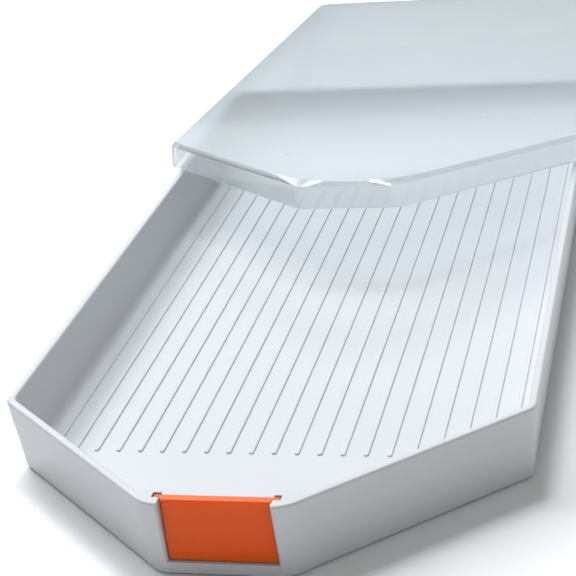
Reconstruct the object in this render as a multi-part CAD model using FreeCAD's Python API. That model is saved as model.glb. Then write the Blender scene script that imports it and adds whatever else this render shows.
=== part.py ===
import FreeCAD, Part
import math
import os

# Pill counting tray: an open white tray with a funnel front, a sliding orange gate
# in its spout, and a loose translucent lid that is pushed back off the tray.
#
# Frame: +Z up, the spout points along -Y, the origin is the centre of the
# tray's underside. Millimetres.

# Tray
TRAY_LENGTH = 250.0
TRAY_WIDTH = 120.0
TRAY_HEIGHT = 18.0
SPOUT_FLAT = 29.0          # width of the flat front between the two slanted walls
FUNNEL_DEPTH = 40.5        # how far the slanted front walls reach back
FLOOR = 2.2
WALL = 2.0                 # wall thickness at the rim
OUTER_DRAFT = 1.7          # how far the outside leans in from rim to underside
INNER_DRAFT = 1.6          # how far the inside leans in from rim to floor
FRONT_RADIUS = 9.0         # plan radius between the flat front and a slanted wall
SIDE_RADIUS = 4.0          # plan radius between a slanted wall and a side wall
REAR_RADIUS = 5.0
LEAST_RADIUS = 3.0         # smallest plan radius inside the tray and the lid
FLOOR_FILLET = 2.4
BASE_FILLET = 1.2
RIM_FILLET = 0.6

# Ribs on the floor
RIB_COUNT = 21
RIB_PITCH = 5.28
RIB_WIDTH = 1.2
RIB_HEIGHT = 0.4
RIB_FILLET = 0.28          # of a rib's top edges
RIB_START = 45.0           # from the front face to the ribs' rounded ends
RIB_ROOT = 0.3             # how deep a rib reaches into the floor, to be one with it

# Spout and gate
SILL_HEIGHT = 3.2          # top of the white sill below the gate
GATE_WIDTH = 23.0          # between the two lips
GATE_THICKNESS = 2.2
GATE_TOP = 17.7
GATE_RECESS = 2.0          # from the front face back to the gate's face
MOUTH_CHAMFER = 0.5        # on the two upright front edges of the spout's mouth
TONGUE_LENGTH = 1.7
TONGUE_THICKNESS = 1.5
GATE_GAP = 0.15            # all round the gate in its opening and grooves
POST_BACK = 1.1            # wall of the groove behind the gate's tongue
POST_WIDTH = 5.5           # how far a groove post reaches sideways from the opening
POST_RADIUS = 0.8          # of the posts' upright edges
POST_RIM_FILLET = 0.36
POST_ROOT = 0.5            # height above the underside at which posts and sill begin
SILL_SLOPE = 3.0           # length of the slope from the sill down to the floor
GATE_FILLET = 0.3

# Lid
LID_OVERHANG = 4.0         # outside of the lid beyond the rim at the sides, front and rear
LID_FUNNEL_OVERHANG = 2.5  # the same along the slanted front walls
LID_WALL = 1.5
LID_PLATE = 1.4
LID_SKIRT = 6.1            # inside depth below the plate
LID_DRAFT = 0.5
LID_BEVEL = 1.2            # width and height of the rounded-over top edge
LID_FRONT_RADIUS = 5.0
LID_CREST_RADIUS = 30.0    # plan radius of the plate's outline above the front corners
LID_SIDE_RADIUS = 4.0
LID_REAR_RADIUS = 6.0
LID_EDGE_FILLET = 0.4      # of the plate's outline
LID_SHOULDER_FILLET = 0.2  # between the top bevel and the skirt
LID_FOOT_FILLET = 0.6      # of the skirt's lower outer edge
LID_PUSHED_BACK = 142.5    # how far behind its closed place the lid lies
LID_SIDE_SHIFT = 0.7       # how far the loose lid lies to the right
REST_GAP = 0.2             # between the lid's skirt and what it rests on

OVERSHOOT = 1.0            # how far a cutting shape stands out of what it cuts

FRONT_Y = -TRAY_LENGTH / 2
REAR_Y = TRAY_LENGTH / 2
LID_HEIGHT = LID_SKIRT + LID_PLATE
GATE_FACE_Y = FRONT_Y + GATE_RECESS
GATE_BACK_Y = GATE_FACE_Y + GATE_THICKNESS


def funnel_corners(side, funnel, front, rear):
    """Corners of the tray's plan, moved inwards by one distance on each kind of wall."""
    run = TRAY_WIDTH / 2 - SPOUT_FLAT / 2
    length = math.hypot(run, FUNNEL_DEPTH)
    along_x, along_y = run / length, FUNNEL_DEPTH / length
    start_x = SPOUT_FLAT / 2 - funnel * along_y
    start_y = FRONT_Y + funnel * along_x
    half = TRAY_WIDTH / 2 - side
    near_y = FRONT_Y + front
    near_x = start_x + (near_y - start_y) * along_x / along_y
    side_y = start_y + (half - start_x) * along_y / along_x
    far_y = REAR_Y - rear
    right = [(near_x, near_y), (half, side_y), (half, far_y)]
    left = [(-x, y) for x, y in reversed(right)]
    return right + left


def rounded_wire(corners, radii, z):
    """Closed flat wire through the corners, each rounded by its own radius."""
    count = len(corners)
    starts, ends, middles = [], [], []
    for i, (x, y) in enumerate(corners):
        here = FreeCAD.Vector(x, y, z)
        before = FreeCAD.Vector(*corners[i - 1], z) - here
        after = FreeCAD.Vector(*corners[(i + 1) % count], z) - here
        before.normalize()
        after.normalize()
        half_angle = before.getAngle(after) / 2
        tangent = radii[i] / math.tan(half_angle)
        inward = before + after
        inward.normalize()
        reach = radii[i] / math.sin(half_angle) - radii[i]
        starts.append(here + before * tangent)
        middles.append(here + inward * reach)
        ends.append(here + after * tangent)
    edges = []
    for i in range(count):
        edges.append(Part.Arc(starts[i], middles[i], ends[i]).toShape())
        edges.append(Part.LineSegment(ends[i], starts[(i + 1) % count]).toShape())
    return Part.Wire(edges)


def tray_radii(inset):
    """Plan radii of the tray's corners on a wall surface moved inwards by the inset."""
    radii = [max(r - inset, LEAST_RADIUS) for r in (FRONT_RADIUS, SIDE_RADIUS, REAR_RADIUS)]
    return radii + radii[::-1]


def tray_wire(inset, z):
    """Outline of the tray's walls at height z, moved inwards by the inset."""
    corners = funnel_corners(inset, inset, inset, inset)
    return rounded_wire(corners, tray_radii(inset), z)


def loft(*wires):
    """Solid with straight sides through the wires."""
    return Part.makeLoft(list(wires), True, True)


def edges_at(shape, z):
    """Edges of the shape that lie wholly at height z."""
    found = []
    for edge in shape.Edges:
        box = edge.BoundBox
        if abs(box.ZMin - z) < 0.01 and abs(box.ZMax - z) < 0.01:
            found.append(edge)
    return found


def box_between(low, high):
    """Box from its lowest to its highest corner."""
    size = [b - a for a, b in zip(low, high)]
    return Part.makeBox(*size, FreeCAD.Vector(*low))


def tray_outline():
    """The space inside the outer faces of the tray's walls."""
    return loft(tray_wire(OUTER_DRAFT, 0), tray_wire(0, TRAY_HEIGHT))


def tray_shell():
    """Floor and walls, with rounded underside, floor and rim edges."""
    outer = tray_outline()
    outer = outer.makeFillet(BASE_FILLET, edges_at(outer, 0))
    hollow = loft(tray_wire(WALL + INNER_DRAFT, FLOOR), tray_wire(WALL, TRAY_HEIGHT))
    hollow = hollow.makeFillet(FLOOR_FILLET, edges_at(hollow, FLOOR))
    shell = outer.cut(hollow)
    return shell.makeFillet(RIM_FILLET, edges_at(shell, TRAY_HEIGHT))


def middle_rib():
    """The rib on the middle line: flat with rounded top edges and a round front end."""
    half = RIB_WIDTH / 2
    start_y = FRONT_Y + RIB_START + half
    root = FLOOR - RIB_ROOT
    top = FLOOR + RIB_HEIGHT
    bar = box_between((-half, start_y, root), (half, REAR_Y - WALL, top))
    end = Part.makeCylinder(half, top - root, FreeCAD.Vector(0, start_y, root))
    whole = bar.fuse(end).removeSplitter()
    return whole.makeFillet(RIB_FILLET, edges_at(whole, top))


def ribs():
    """The row of ribs, centred on the floor."""
    middle = (RIB_COUNT - 1) / 2
    first = middle_rib()
    places = [FreeCAD.Vector((i - middle) * RIB_PITCH, 0, 0) for i in range(RIB_COUNT)]
    return [first.translated(place) for place in places]


def groove_post(side):
    """Thickened end of the front wall that carries the gate's groove, on one side."""
    inner = GATE_WIDTH / 2 + GATE_GAP
    back = GATE_BACK_Y + GATE_GAP + POST_BACK
    low = (inner, FRONT_Y - OVERSHOOT, POST_ROOT)
    post = box_between(low, (inner + POST_WIDTH, back, TRAY_HEIGHT))
    uprights = [e for e in post.Edges if e.BoundBox.ZLength > 1 and e.BoundBox.YMin > FRONT_Y]
    post = post.makeFillet(POST_RADIUS, uprights).common(tray_outline())
    post = post.makeFillet(POST_RIM_FILLET, edges_at(post, TRAY_HEIGHT))
    return post if side > 0 else post.mirror(FreeCAD.Vector(0, 0, 0), FreeCAD.Vector(1, 0, 0))


def sill():
    """Raised strip of floor under the gate, sloping down to the floor behind it."""
    half = GATE_WIDTH / 2 + POST_WIDTH
    flat_y = GATE_BACK_Y + GATE_GAP + POST_BACK
    profile = [
        (FRONT_Y - OVERSHOOT, POST_ROOT),
        (flat_y + SILL_SLOPE, POST_ROOT),
        (flat_y + SILL_SLOPE, FLOOR),
        (flat_y, SILL_HEIGHT),
        (FRONT_Y - OVERSHOOT, SILL_HEIGHT),
    ]
    points = [FreeCAD.Vector(-half, y, z) for y, z in profile]
    face = Part.Face(Part.makePolygon(points + points[:1]))
    return face.extrude(FreeCAD.Vector(2 * half, 0, 0)).common(tray_outline())


def mouth_wire(z):
    """Plan of the mouth's chamfers at height z, which follow the leaning front face."""
    half = GATE_WIDTH / 2 + GATE_GAP
    face_y = FRONT_Y + OUTER_DRAFT * (1 - z / TRAY_HEIGHT)
    wide = half + MOUTH_CHAMFER + OVERSHOOT
    near_y = face_y - OVERSHOOT
    far_y = face_y + MOUTH_CHAMFER
    plan = [(-wide, near_y), (wide, near_y), (half, far_y), (-half, far_y), (-wide, near_y)]
    return Part.makePolygon([FreeCAD.Vector(x, y, z) for x, y in plan])


def spout_cut():
    """The opening through the front wall, with a groove at each side for the gate's tongues."""
    half = GATE_WIDTH / 2 + GATE_GAP
    back = GATE_BACK_Y + GATE_GAP + POST_BACK + OVERSHOOT
    top = TRAY_HEIGHT + OVERSHOOT
    opening = box_between((-half, FRONT_Y - OVERSHOOT, SILL_HEIGHT), (half, back, top))
    reach = GATE_WIDTH / 2 + TONGUE_LENGTH + GATE_GAP
    groove = box_between(
        (-reach, GATE_BACK_Y - TONGUE_THICKNESS - GATE_GAP, SILL_HEIGHT),
        (reach, GATE_BACK_Y + GATE_GAP, top),
    )
    return opening.fuse([groove, loft(mouth_wire(SILL_HEIGHT), mouth_wire(top))])


def tray_body():
    """The white tray: shell, ribs, groove posts and sill in one moulding."""
    pieces = ribs() + [groove_post(1), groove_post(-1), sill()]
    body = tray_shell().multiFuse(pieces)
    return body.cut(spout_cut()).removeSplitter()


def spout_gate():
    """The orange gate: a flat plate with a thinner tongue down each side."""
    bottom = SILL_HEIGHT + GATE_GAP
    half = GATE_WIDTH / 2
    plate = box_between((-half, GATE_FACE_Y, bottom), (half, GATE_BACK_Y, GATE_TOP))
    reach = half + TONGUE_LENGTH
    tongues = box_between(
        (-reach, GATE_BACK_Y - TONGUE_THICKNESS, bottom),
        (reach, GATE_BACK_Y, GATE_TOP),
    )
    gate = plate.fuse(tongues).removeSplitter()
    return gate.makeFillet(GATE_FILLET, gate.Edges)


def lid_wire(inset, z, front_radius):
    """Outline of the lid at height z, moved inwards from its outside by the inset."""
    wide = inset - LID_OVERHANG
    corners = funnel_corners(wide, inset - LID_FUNNEL_OVERHANG, wide, wide)
    side = max(LID_SIDE_RADIUS - inset, LEAST_RADIUS)
    rear = max(LID_REAR_RADIUS - inset, LEAST_RADIUS)
    return rounded_wire(corners, [front_radius, side, rear, rear, side, front_radius], z)


def closed_lid():
    """The lid in its closed place, with its skirt's lower edge at z = 0."""
    shoulder = LID_HEIGHT - LID_BEVEL
    skirt = loft(lid_wire(0, 0, LID_FRONT_RADIUS), lid_wire(LID_DRAFT, shoulder, LID_FRONT_RADIUS))
    crest = loft(
        lid_wire(LID_DRAFT, shoulder, LID_FRONT_RADIUS),
        lid_wire(LID_DRAFT + LID_BEVEL, LID_HEIGHT, LID_CREST_RADIUS),
    )
    hollow = loft(
        lid_wire(LID_WALL, 0, LID_FRONT_RADIUS),
        lid_wire(LID_WALL + LID_DRAFT, LID_SKIRT, LID_FRONT_RADIUS),
    )
    outside = skirt.fuse(crest).removeSplitter()
    outside = outside.makeFillet(LID_SHOULDER_FILLET, edges_at(outside, shoulder))
    outside = outside.makeFillet(LID_EDGE_FILLET, edges_at(outside, LID_HEIGHT))
    outside = outside.makeFillet(LID_FOOT_FILLET, edges_at(outside, 0))
    return outside.cut(hollow)


def resting_lid():
    """The lid pushed back: its front skirt on the side walls' rims, its rear skirt on the table."""
    inner = LID_WALL - LID_FUNNEL_OVERHANG
    touch_y = funnel_corners(-LID_SIDE_SHIFT, inner, 0, 0)[1][1]
    rear_y = REAR_Y + LID_OVERHANG
    drop = TRAY_HEIGHT + REST_GAP / 2
    tilt = math.asin(drop / (rear_y - touch_y))
    lid = closed_lid()
    lid.rotate(FreeCAD.Vector(0, rear_y, 0), FreeCAD.Vector(1, 0, 0), -math.degrees(tilt))
    lid.translate(FreeCAD.Vector(LID_SIDE_SHIFT, LID_PUSHED_BACK, REST_GAP / 2))
    return lid


def save(node, shape):
    """Writes one node's solid."""
    shape.exportStep(os.path.join("parts", node + ".step"))
    box = shape.optimalBoundingBox()
    print(node, "valid", shape.isValid(), "solids", len(shape.Solids), "volume %.0f" % shape.Volume)
    print("  x %.1f..%.1f  y %.1f..%.1f" % (box.XMin, box.XMax, box.YMin, box.YMax))
    print("  z %.2f..%.2f" % (box.ZMin, box.ZMax))


def main():
    os.makedirs("parts", exist_ok=True)
    save("tray_body", tray_body())
    save("spout_gate", spout_gate())
    save("lid", resting_lid())


main()
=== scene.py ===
"""Looks of the pill counting tray: camera, light, table and the three moulded plastics.

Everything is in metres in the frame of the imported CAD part: Z up, the spout towards -Y and the
origin at the middle of the tray's underside.
"""

from math import cos, radians, sin

import bpy
from mathutils import Euler, Matrix, Vector

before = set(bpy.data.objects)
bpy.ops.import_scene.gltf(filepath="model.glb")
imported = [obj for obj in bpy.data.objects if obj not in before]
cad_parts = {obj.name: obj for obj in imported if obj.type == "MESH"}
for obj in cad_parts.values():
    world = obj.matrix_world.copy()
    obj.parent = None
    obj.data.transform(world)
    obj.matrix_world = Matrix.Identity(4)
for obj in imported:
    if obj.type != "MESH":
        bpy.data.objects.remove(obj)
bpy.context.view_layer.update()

# ---- Camera -------------------------------------------------------------------------------
CAMERA_PLACE = (0.0940, -0.3821, 0.1885)
CAMERA_YAW = 14.87       # degrees to the left of +Y
CAMERA_PITCH = 24.87     # degrees below the horizon
CAMERA_ROLL = 6.65       # degrees about the line of sight
CAMERA_LENS = 101.8      # mm
SENSOR_WIDTH = 36        # mm
CAMERA_SHIFT = -0.045    # of the picture's width: its middle is left of the lens axis
NEAREST, FARTHEST = 0.01, 100

# ---- Lights -------------------------------------------------------------------------------
WORLD_COLOUR = (1.0, 0.98, 0.95, 1)      # slightly warm
WORLD_STRENGTH = 0.2
LIGHT_COLOUR = (0.94, 0.972, 1.0)        # cool daylight
LIGHT_DISTANCE = 1.5                     # from the origin, which every soft box shines at
SOFT_BOXES = {
    # name: azimuth in degrees from +X to +Y, elevation in degrees, width, height, watts
    "window_box": (143, 48, 0.75, 0.75, 14),     # main light, from the rear left
    "top_box": (108, 68, 0.4, 0.4, 12),          # throws the lid's shadow on the tray's floor
    "back_box": (110, 30, 1.1, 0.3, 2.8),        # sheen on the tray's floor and the gate
    "low_box": (100, 13.7, 2.0, 0.2, 1.5),       # sheen on the front of the lid
    "side_box": (180, 25, 0.8, 0.8, 0.1),
    "fill_box": (-45, 45, 0.9, 0.9, 1.1),        # softens the shadows at the front
    "front_strip": (-76, 52, 0.5, 0.07, 0.9),
}

# ---- Table --------------------------------------------------------------------------------
TABLE_SIZE = 40.0
TABLE_GAP = 0.0001       # below the underside of the tray
TABLE_COLOURS = (0.94, 0.94, 0.94, 1), (0.96, 0.96, 0.96, 1)

# ---- Plastics: the darkest and the lightest tone of each, as linear colours ----------------
WHITE_COLOURS = (0.64, 0.66, 0.685, 1), (0.67, 0.69, 0.715, 1)
ORANGE_COLOURS = (0.80, 0.115, 0.004, 1), (0.85, 0.135, 0.008, 1)
PLATE_COLOURS = (0.825, 0.88, 0.92, 1), (0.855, 0.905, 0.94, 1)     # level parts of the lid
SKIRT_PAINTED_LIGHT_COLOUR = (0.99, 0.99, 0.985, 1)                               # its upright parts, painted lighter than the level parts though the plastic is the same
SPECK_COLOUR = (0.25, 0.26, 0.28, 1)
GLOW_COLOUR = (0.90, 0.96, 1.0, 1)
GLOW_SHARE = 0.2                         # of the lid's surface that scatters light through itself
PLATE_PASSES = (0.885, 0.90, 0.90, 1)    # light that a level part of the lid lets through
SKIRT_PASSES = (0.45, 0.48, 0.51, 1)     # and an upright part, where it travels further
SPECK_CELLS = 90                         # to the metre, with one possible speck in each
SPECK_RADIUS = 0.045                     # of a cell
SPECK_RARITY = 0.5                       # share of the cells that have none


def make_camera():
    """Puts the camera where the object was seen from."""
    data = bpy.data.cameras.new("camera")
    data.lens = CAMERA_LENS
    data.sensor_width = SENSOR_WIDTH
    data.shift_x = CAMERA_SHIFT
    data.clip_start = NEAREST
    data.clip_end = FARTHEST
    camera = bpy.data.objects.new("camera", data)
    heading = Euler((-radians(CAMERA_PITCH), 0, 0)).to_matrix()
    heading = Matrix.Rotation(radians(CAMERA_YAW), 3, "Z") @ heading
    heading = heading @ Matrix.Rotation(radians(CAMERA_ROLL), 3, "Y")
    heading = heading @ Matrix.Rotation(radians(90), 3, "X")
    camera.matrix_world = Matrix.Translation(CAMERA_PLACE) @ heading.to_4x4()
    bpy.context.scene.collection.objects.link(camera)
    bpy.context.scene.camera = camera


def make_world():
    """A dim, even light from all round."""
    world = bpy.data.worlds.new("studio")
    world.use_nodes = True
    background = world.node_tree.nodes["Background"]
    background.inputs["Color"].default_value = WORLD_COLOUR
    background.inputs["Strength"].default_value = WORLD_STRENGTH
    bpy.context.scene.world = world


def make_soft_box(name, azimuth, elevation, width, height, watts):
    """An area light that shines at the origin."""
    data = bpy.data.lights.new(name, "AREA")
    data.shape = "RECTANGLE"
    data.size = width
    data.size_y = height
    data.energy = watts
    data.color = LIGHT_COLOUR
    lamp = bpy.data.objects.new(name, data)
    level = LIGHT_DISTANCE * cos(radians(elevation))
    x, y = level * cos(radians(azimuth)), level * sin(radians(azimuth))
    lamp.location = Vector((x, y, LIGHT_DISTANCE * sin(radians(elevation))))
    lamp.rotation_euler = (-lamp.location).to_track_quat("-Z", "Y").to_euler()
    bpy.context.scene.collection.objects.link(lamp)


# ---- Node helpers -------------------------------------------------------------------------
def new_material(name):
    """An empty node material and the function that adds nodes to it."""
    material = bpy.data.materials.new(name)
    material.use_nodes = True
    tree = material.node_tree
    tree.nodes.clear()

    def add(kind, values=None, **settings):
        node = tree.nodes.new(kind)
        for key, value in settings.items():
            setattr(node, key, value)
        for key, value in (values or {}).items():
            if isinstance(value, bpy.types.NodeSocket):
                tree.links.new(value, node.inputs[key])
            else:
                node.inputs[key].default_value = value
        return node

    return material, add


def stretched(add, scale):
    """Object coordinates scaled by a different amount along each axis."""
    where = add("ShaderNodeTexCoord").outputs["Object"]
    return add("ShaderNodeMapping", {"Vector": where, "Scale": scale}).outputs["Vector"]


def spread(add, value, low, high):
    """A 0 to 1 value turned into low to high."""
    values = {"Value": value, "To Min": low, "To Max": high}
    return add("ShaderNodeMapRange", values).outputs["Result"]


def noise(add, waves, detail=2.0, along=(1, 1, 1)):
    """Smooth noise with this many waves to the metre, fewer along an axis where along is low."""
    vector = stretched(add, tuple(waves * a for a in along))
    values = {"Vector": vector, "Scale": 1.0, "Detail": detail}
    return add("ShaderNodeTexNoise", values).outputs["Fac"]


def arithmetic(add, operation, first, second=0.0):
    """One operation of a Math node."""
    node = add("ShaderNodeMath", {0: first, 1: second}, operation=operation)
    return node.outputs["Value"]


def blend_colours(add, factor, first, second):
    """The first colour where factor is 0, the second where it is 1."""
    # The Mix node has a set of sockets for each data type, so these go by number.
    colours = {0: factor, 6: first, 7: second}
    return add("ShaderNodeMix", colours, data_type="RGBA").outputs[2]


def mix_shaders(add, factor, first, second):
    """The first shader where factor is 0, the second where it is 1."""
    return add("ShaderNodeMixShader", {0: factor, 1: first, 2: second}).outputs["Shader"]


def grain(add, height, depth):
    """The fine relief that a mould leaves."""
    values = {"Height": height, "Distance": depth, "Strength": 1.0}
    return add("ShaderNodeBump", values).outputs["Normal"]


# ---- Materials ----------------------------------------------------------------------------
def white_plastic():
    """Glossy, slightly cool white moulding with a faint grain."""
    material, add = new_material("white_plastic")
    smears = noise(add, waves=60, detail=4, along=(1, 0.2, 1))
    relief = noise(add, waves=1800, detail=1)
    shader = add("ShaderNodeBsdfPrincipled", {
        "Base Color": blend_colours(add, noise(add, waves=25, detail=3), *WHITE_COLOURS),
        "Roughness": spread(add, smears, low=0.26, high=0.34),
        "IOR": 1.5,
        "Specular IOR Level": 0.3,
        "Normal": grain(add, relief, depth=0.000006),
    })
    add("ShaderNodeOutputMaterial", {"Surface": shader.outputs["BSDF"]})
    return material


def orange_plastic():
    """Saturated orange moulding that light soaks into a little."""
    material, add = new_material("orange_plastic")
    smears = noise(add, waves=300, detail=3)
    relief = noise(add, waves=2200, detail=2)
    shader = add("ShaderNodeBsdfPrincipled", {
        "Base Color": blend_colours(add, noise(add, waves=90, detail=3), *ORANGE_COLOURS),
        "Roughness": spread(add, smears, low=0.28, high=0.42),
        "IOR": 1.45,
        "Specular IOR Level": 0.05,
        "Coat Weight": 0.8,
        "Coat IOR": 1.33,
        "Coat Roughness": 0.08,
        "Subsurface Weight": 0.8,
        "Subsurface Radius": (1.0, 0.2, 0.04),
        "Subsurface Scale": 0.003,
        "Normal": grain(add, relief, depth=0.00001),
    })
    add("ShaderNodeOutputMaterial", {"Surface": shader.outputs["BSDF"]})
    return material


def frosted_plastic():
    """Milky translucent moulding, cloudy inside and glossy on its skin, with a few dark specks;
    its upright parts are painted lighter.
    """
    material, add = new_material("frosted_plastic")
    normal = add("ShaderNodeTexCoord").outputs["Normal"]
    upward = add("ShaderNodeSeparateXYZ", {"Vector": normal}).outputs["Z"]
    level = arithmetic(add, "ABSOLUTE", upward)     # 1 on the plate, 0 on the skirt
    plate = blend_colours(add, noise(add, waves=40, detail=3), *PLATE_COLOURS)
    # Painted light: the upright skirt gets a lighter colour than the level plate, to brighten it.
    tone_with_painted_light = blend_colours(add, level, SKIRT_PAINTED_LIGHT_COLOUR, plate)
    smears = noise(add, waves=150, detail=3)
    relief = noise(add, waves=1500, detail=2)
    shader = add("ShaderNodeBsdfPrincipled", {
        "Base Color": blend_colours(add, specks(add), tone_with_painted_light, SPECK_COLOUR),
        "Roughness": spread(add, smears, low=0.1, high=0.14),
        "IOR": 1.45,
        "Transmission Weight": spread(add, level, low=0.98, high=0.88),
        "Coat Weight": 0.5,
        "Coat Roughness": 0.06,
        "Normal": grain(add, relief, depth=0.000004),
    })
    glow = add("ShaderNodeBsdfTranslucent", {"Color": GLOW_COLOUR})
    body = mix_shaders(add, GLOW_SHARE, shader.outputs["BSDF"], glow.outputs["BSDF"])
    # Light that passes through on its way from a lamp or a wall goes straight on, only tinted.
    ray = add("ShaderNodeLightPath").outputs
    passing = arithmetic(add, "MAXIMUM", ray["Is Shadow Ray"], ray["Is Diffuse Ray"])
    tint = blend_colours(add, level, SKIRT_PASSES, PLATE_PASSES)
    clear = add("ShaderNodeBsdfTransparent", {"Color": tint})
    mixed = mix_shaders(add, passing, body, clear.outputs["BSDF"])
    add("ShaderNodeOutputMaterial", {"Surface": mixed})
    return material


def specks(add):
    """1 inside a few small scattered dots, 0 elsewhere."""
    vector = stretched(add, (SPECK_CELLS, SPECK_CELLS, SPECK_CELLS))
    cells = add("ShaderNodeTexVoronoi", {"Vector": vector, "Scale": 1.0}).outputs
    dot = arithmetic(add, "LESS_THAN", cells["Distance"], SPECK_RADIUS)
    chance = add("ShaderNodeSeparateColor", {"Color": cells["Color"]}).outputs["Red"]
    chosen = arithmetic(add, "GREATER_THAN", chance, SPECK_RARITY)
    return arithmetic(add, "MULTIPLY", dot, chosen)


def table_board():
    """A plain pale board with a barely visible unevenness."""
    material, add = new_material("table_board")
    shade = blend_colours(add, noise(add, waves=6), *TABLE_COLOURS)
    shader = add("ShaderNodeBsdfPrincipled", {"Base Color": shade, "Roughness": 0.7, "IOR": 1.3})
    add("ShaderNodeOutputMaterial", {"Surface": shader.outputs["BSDF"]})
    return material


def make_table():
    """The floor of the scene, just under the tray."""
    bpy.ops.mesh.primitive_plane_add(size=TABLE_SIZE, location=(0, 0, -TABLE_GAP))
    table = bpy.context.object
    table.name = "table"
    table.data.materials.append(table_board())


def finish_node(name, material):
    """Gives a CAD node its procedural material."""
    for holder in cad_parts[name].material_slots:
        holder.material = material


make_camera()
make_world()
for box_name, box in SOFT_BOXES.items():
    make_soft_box(box_name, *box)
make_table()
finish_node("tray_body", white_plastic())
finish_node("spout_gate", orange_plastic())
finish_node("lid", frosted_plastic())

bpy.context.scene.view_settings.view_transform = "Standard"
